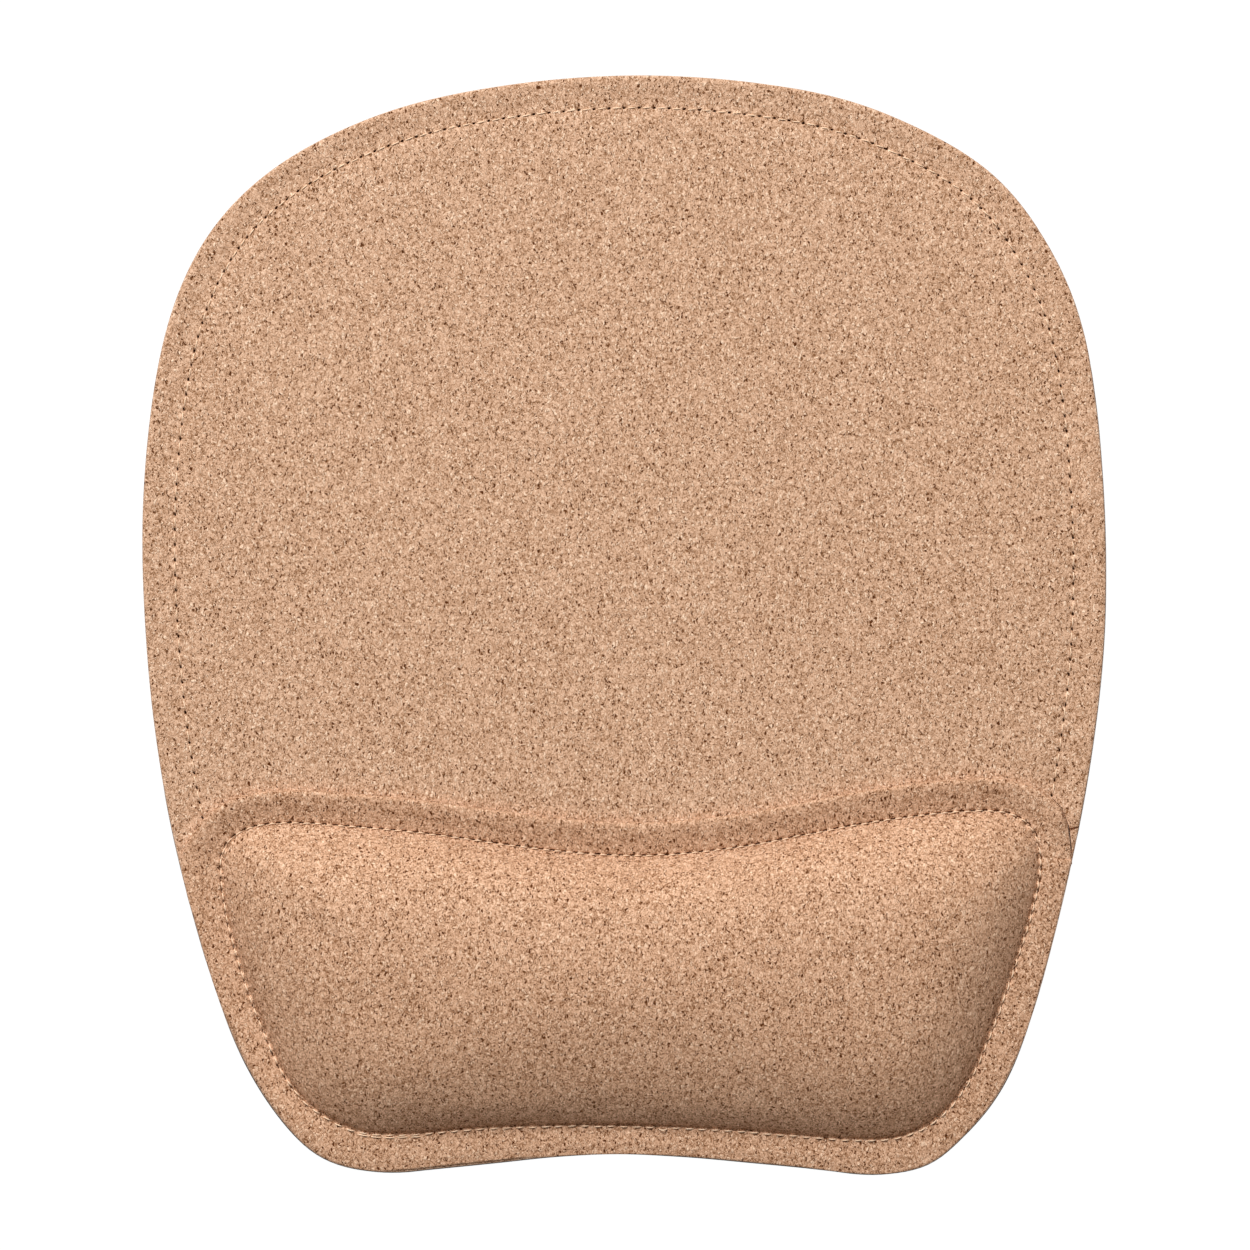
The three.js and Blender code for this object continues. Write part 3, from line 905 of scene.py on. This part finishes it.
class Tree:
    """A material's node tree, with short calls for its nodes."""

    def __init__(self, name):
        self.material = bpy.data.materials.new(name)
        self.material.use_nodes = True
        self.tree = self.material.node_tree
        self.shader = self.tree.nodes["Principled BSDF"]

    def node(self, kind, inputs=None, **settings):
        made = self.tree.nodes.new("ShaderNode" + kind)
        for key, value in settings.items():
            setattr(made, key, value)
        for key, value in (inputs or {}).items():
            self.feed(made, key, value)
        return made

    def feed(self, node, key, value):
        if isinstance(value, bpy.types.NodeSocket):
            self.tree.links.new(value, node.inputs[key])
        else:
            node.inputs[key].default_value = value

    def vector(self, operation, *inputs):
        return self.node("VectorMath", dict(enumerate(inputs)), operation=operation).outputs[0]

    def math(self, operation, *inputs):
        return self.node("Math", dict(enumerate(inputs)), operation=operation).outputs[0]

    def place(self, shift=(0, 0, 0)):
        where = self.node("TexCoord").outputs["Object"]
        return self.node("Mapping", {"Vector": where, "Location": shift}).outputs[0]

    def noise(self, vector, scale, detail):
        inputs = {"Vector": vector, "Scale": scale, "Detail": detail, "Roughness": 0.5}
        return self.node("TexNoise", inputs).outputs

    def cells(self, vector, scale, feature="F1"):
        return self.node("TexVoronoi", {"Vector": vector, "Scale": scale}, feature=feature).outputs

    def band(self, value, low, high, out_low=0.0, out_high=1.0):
        inputs = {"Value": value, "From Min": low, "From Max": high,
                  "To Min": out_low, "To Max": out_high}
        return self.node("MapRange", inputs).outputs[0]

    def ramp(self, value, stops):
        made = self.node("ValToRGB", {"Fac": value})
        marks = made.color_ramp.elements
        while len(marks) < len(stops):
            marks.new(0.5)
        for mark, (position, colour) in zip(marks, stops):
            mark.position = position
            mark.color = colour
        return made.outputs["Color"]

    def total(self, level, *parts):
        """A level plus each part times its amount."""
        for part, amount in parts:
            level = self.math("MULTIPLY_ADD", part, amount, level)
        return level

    def bump(self, height, strength, distance):
        inputs = {"Height": height, "Strength": strength, "Distance": distance}
        return self.node("Bump", inputs).outputs[0]

    def surface(self, inputs):
        for key, value in inputs.items():
            self.feed(self.shader, key, value)


def cork_material(name, shift, tint, contrast):
    """Fine pressed cork: pale upright grains, thin dark joints, dark and pale slivers, and painted
    shade inside the needle holes.

    shift moves the pattern, tint multiplies its colour, and contrast is 1 for the plain pattern.
    """
    cork = Tree(name)
    plain = cork.place(shift)
    drift = cork.vector("SUBTRACT", cork.noise(plain, 1100, 1.0)["Color"], (0.5, 0.5, 0.5))
    drift = cork.vector("MULTIPLY", drift, (1.1 * MM, 1.1 * MM, 1.1 * MM))
    bent = cork.vector("ADD", plain, drift)
    upright = cork.node("Mapping", {"Vector": bent, "Scale": (1, 0.66, 1)}).outputs[0]

    def slivers(across, along, turn, shift, least, size, soft):
        """Small flecks in some cells of a pattern, with their length near the Y axis.

        across and along are cells to the metre, and the share of cells without a fleck is least.
        """
        where = cork.node("Mapping", {"Vector": bent, "Location": shift, "Rotation": (0, 0, turn),
                                      "Scale": (across, along, across)}).outputs[0]
        cell = cork.cells(where, 1)
        pick = cork.node("SeparateColor", {0: cell["Color"]}).outputs[2]
        radius = cork.band(pick, least, 1.0, 0.1, size)
        fleck = cork.band(cork.math("SUBTRACT", radius, cell["Distance"]), 0.0, soft)
        return cork.math("MULTIPLY", fleck, cork.math("GREATER_THAN", pick, least))

    grains = 1900   # to the metre
    grain = cork.cells(upright, grains)
    tone = cork.node("SeparateColor", {0: grain["Color"]}).outputs
    joint = cork.cells(upright, grains, "DISTANCE_TO_EDGE")["Distance"]
    joint = cork.band(joint, 0.0, 0.14, 1.0, 0.0)
    patchy = cork.band(cork.noise(plain, 800, 1.0)["Fac"], 0.42, 0.62)
    joint = cork.math("MULTIPLY", joint, patchy)

    fine = cork.noise(upright, 3300, 1.0)["Fac"]
    slow = cork.noise(plain, 60, 3.0)["Fac"]
    dark = cork.math("MAXIMUM", slivers(2200, 1150, 0.5, (1.3, 2.1, 0), 0.85, 0.6, 0.16),
                     slivers(2300, 1200, -0.4, (4.3, 0.7, 0), 0.87, 0.6, 0.16))
    pale = cork.math("MAXIMUM", slivers(2500, 1100, 0.35, (3.7, 1.9, 0), 0.78, 0.6, 0.2),
                     slivers(2300, 1200, -0.55, (2.2, 5.1, 0), 0.80, 0.6, 0.2))
    speck = slivers(1300, 1100, 0, (7, 3, 0), 0.9, 0.36, 0.12)

    def centred(value):
        return cork.math("SUBTRACT", value, 0.5)

    level = cork.total(0.545, (centred(fine), 1.25), (centred(tone[0]), 0.26),
                       (centred(slow), 0.05), (joint, -0.12), (pale, 0.55), (dark, -0.5),
                       (speck, -0.6))
    level = cork.total(0.5, (centred(level), contrast))
    # Painted shade: where a point lies inside a needle hole, the cork's level is pulled towards its
    # darkest brown.
    hole = cork.node("Attribute", attribute_name="hole").outputs["Fac"]
    level = cork.total(level, (cork.band(hole, 0.25, 0.55), -1.0))

    stops = [(0.0, srgb(92, 46, 10)), (0.25, srgb(146, 102, 66)), (0.5, srgb(204, 162, 129)),
             (0.75, srgb(234, 193, 160)), (1.0, srgb(255, 222, 190))]
    colour = cork.ramp(level, stops)
    toned = cork.vector("MULTIPLY", colour, tint)
    # Painted shade: the colour is scaled down to 0.4 of itself deep inside the needle holes.
    painted_hole_shade = cork.band(hole, 0.3, 0.7, 1.0, 0.4)
    toned = cork.node("VectorMath", {0: toned, "Scale": painted_hole_shade}, operation="SCALE").outputs[0]
    height = cork.total(tone[1], (joint, -0.6), (dark, -0.9), (pale, 0.8), (fine, 0.8))
    cork.surface({"Base Color": toned, "Roughness": cork.band(level, 0.0, 1.0, 0.82, 0.62),
                  "Specular IOR Level": 0.15, "Normal": cork.bump(height, 0.8, 0.15 * MM)})
    return cork.material


def thread_material():
    """Pale beige sewing thread with loose fibres."""
    thread = Tree("sewing_thread")
    where = thread.place()
    fibres = thread.noise(where, 9000, 2.0)["Fac"]
    stain = thread.noise(where, 160, 2.0)["Fac"]
    level = thread.math("MULTIPLY_ADD", fibres, 0.5, thread.math("MULTIPLY", stain, 0.5))
    stops = [(0.2, srgb(226, 188, 152)), (0.5, srgb(246, 213, 180)), (0.8, srgb(255, 233, 208))]
    thread.surface({"Base Color": thread.ramp(level, stops), "Roughness": 0.6,
                    "Normal": thread.bump(fibres, 0.4, 0.05 * MM)})
    return thread.material


def rubber_material():
    """Dark grey non-slip sheet with a fine pebbled face."""
    rubber = Tree("non_slip_sheet")
    where = rubber.place()
    pebbles = rubber.cells(where, 1400)["Distance"]
    dust = rubber.noise(where, 120, 4.0)["Fac"]
    stops = [(0.3, srgb(60, 61, 65)), (0.7, srgb(86, 87, 92))]
    rubber.surface({"Base Color": rubber.ramp(dust, stops),
                    "Roughness": rubber.band(dust, 0.3, 0.7, 0.7, 0.9),
                    "Normal": rubber.bump(pebbles, 0.5, 0.15 * MM)})
    return rubber.material


def foam_material(name, dark, light, pores):
    """Cut foam with open pores, so many to the metre."""
    sponge = Tree(name)
    pore = sponge.cells(sponge.place(), pores)["Distance"]
    sponge.surface({"Base Color": sponge.ramp(pore, [(0.1, dark), (0.6, light)]),
                    "Roughness": 0.95, "Normal": sponge.bump(pore, 0.6, 0.3 * MM)})
    return sponge.material


cork_mat = cork_material("cork_of_the_mat", (0, 0, 0), (1.0, 1.01, 1.04), 1.0)
cork_pad = cork_material("cork_of_the_pad", (0.37, 0.11, 0.05), (0.965, 0.935, 0.935), 1.12)
beige_thread = thread_material()
dark_rubber = rubber_material()
grey_foam = foam_material("grey_foam", srgb(58, 58, 62), srgb(96, 96, 102), 2500)
cream_foam = foam_material("cream_foam", srgb(196, 184, 150), srgb(240, 232, 208), 1800)

# ---- Assembly of the pieces


def finish_piece(piece, material, node):
    """Gives a piece its material and its body, and hides the CAD node it stands for."""
    piece.data.materials.clear()
    piece.data.materials.append(material)
    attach(piece, "root")
    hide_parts(node)


mat_plan, mat_outward = mat_holes()
pad_plan, pad_outward, pad_valley, pad_opened, pad_near = pad_holes()

cover = mat_cover()
core = mat_core()
rest = rest_cover()
foam = rest_foam()
backing = rest_backing()

MAT_THREAD_Z = MAT_TOP - MAT_VALLEY + PUCKER + 0.1 * MM
PAD_THREAD_Z = pad_valley + PUCKER * pad_opened + 0.18 * MM + PAD_NEAR_THREAD * pad_near
BOBBIN_Z = BOBBIN_RADIUS + 0.1 * MM

mat_thread = stitches("mat_needle_stitches", mat_plan, mat_outward, THREAD_RADIUS, MAT_THREAD_Z,
                      up=1, slanted=MAT_SLANT, arch=2.4, dip=1.4 * MM, seed=11)
loose_stitch = np.linalg.norm(pad_plan - LOOSE_STITCH, axis=1).argmin()
pad_thread_plan = pad_plan + pad_outward * (PAD_NEAR_THREAD * pad_near)[:, None]
pad_thread = stitches("rest_needle_stitches", pad_thread_plan, pad_outward, THREAD_RADIUS,
                      PAD_THREAD_Z, up=1, slanted=PAD_SLANT, arch=3.0, dip=2.4 * MM, seed=12,
                      pushed=PAD_THREAD_OUT,
                      bowed=PAD_FAR_BOW * (pad_opened - PAD_SIDE_PITS) / (1 - PAD_SIDE_PITS),
                      loose=[(loose_stitch, LOOSE_BY, LOOSE_BY)])
overlap_start = np.linalg.norm(pad_plan - OVERLAP_FROM, axis=1).argmin()
overlap = slice(overlap_start, overlap_start + OVERLAP_STITCHES + 1)
overlap_plan = pad_plan[overlap] + pad_outward[overlap] * OVERLAP_SHIFT
overlap_thread = stitches("rest_overlap_stitches", overlap_plan, pad_outward[overlap],
                          THREAD_RADIUS, pad_valley[overlap] + 0.25 * MM,
                          up=1, slanted=0, arch=2.6, dip=0.6 * MM, seed=15)

base = base_sheet(pad_plan[:-1])
mat_bobbin = stitches("mat_bobbin_stitches", mat_plan, mat_outward, BOBBIN_RADIUS, BOBBIN_Z,
                      up=-1, slanted=MAT_SLANT, arch=4, dip=0.4 * MM, seed=13)
pad_bobbin = stitches("rest_bobbin_stitches", pad_plan, pad_outward, BOBBIN_RADIUS, BOBBIN_Z,
                      up=-1, slanted=PAD_SLANT, arch=4, dip=0.4 * MM, seed=14)

cut(cover, [wedge("slit", SLIT, MAT_TOP - SLIT_DEPTH, MAT_TOP + FABRIC), crease()])

finish_piece(cover, cork_mat, "mat_cover")
finish_piece(core, grey_foam, "mat_core")
finish_piece(rest, cork_pad, "rest_cover")
finish_piece(foam, cream_foam, "rest_foam")
finish_piece(backing, grey_foam, "rest_backing")
finish_piece(base, dark_rubber, "base_sheet")
for thread, node in ((mat_thread, "mat_needle_thread"), (pad_thread, "rest_needle_thread"),
                     (overlap_thread, "rest_needle_thread"),
                     (mat_bobbin, "mat_bobbin_thread"), (pad_bobbin, "rest_bobbin_thread")):
    finish_piece(thread, beige_thread, node)

# ---- Floor, light and camera

floor_z = -0.05 * MM
floor_corners = [(x * FLOOR_REACH, y * FLOOR_REACH, floor_z)
                 for x, y in ((-1, -1), (1, -1), (1, 1), (-1, 1))]
floor = add_mesh("floor", np.array(floor_corners), [[0, 1, 2, 3]])
paper = Tree("white_paper")
paper.surface({"Base Color": (0.05, 0.05, 0.05, 1), "Emission Color": (1, 1, 1, 1),
               "Emission Strength": 1.0, "Roughness": 0.9, "Specular IOR Level": 0.1})
floor.data.materials.append(paper.material)

lamp = bpy.data.lights.new("key", "AREA")
lamp.size = KEY_SIZE
lamp.energy = KEY_POWER
key = add_object("key", lamp, KEY_PLACE)
key.rotation_euler = (-Vector(KEY_PLACE)).to_track_quat("-Z", "Y").to_euler()

world = bpy.data.worlds.new("studio")
world.use_nodes = True
sky = world.node_tree.nodes["Background"]
sky.inputs["Color"].default_value = SKY_COLOUR
sky.inputs["Strength"].default_value = SKY_STRENGTH
bpy.context.scene.world = world
bpy.context.scene.view_settings.view_transform = "Standard"

camera = bpy.data.cameras.new("camera")
camera.sensor_width = SENSOR
camera.lens = SENSOR * (CAMERA_PLACE[2] - MAT_TOP) / PICTURE_WIDTH
bpy.context.scene.camera = add_object("camera", camera, CAMERA_PLACE)
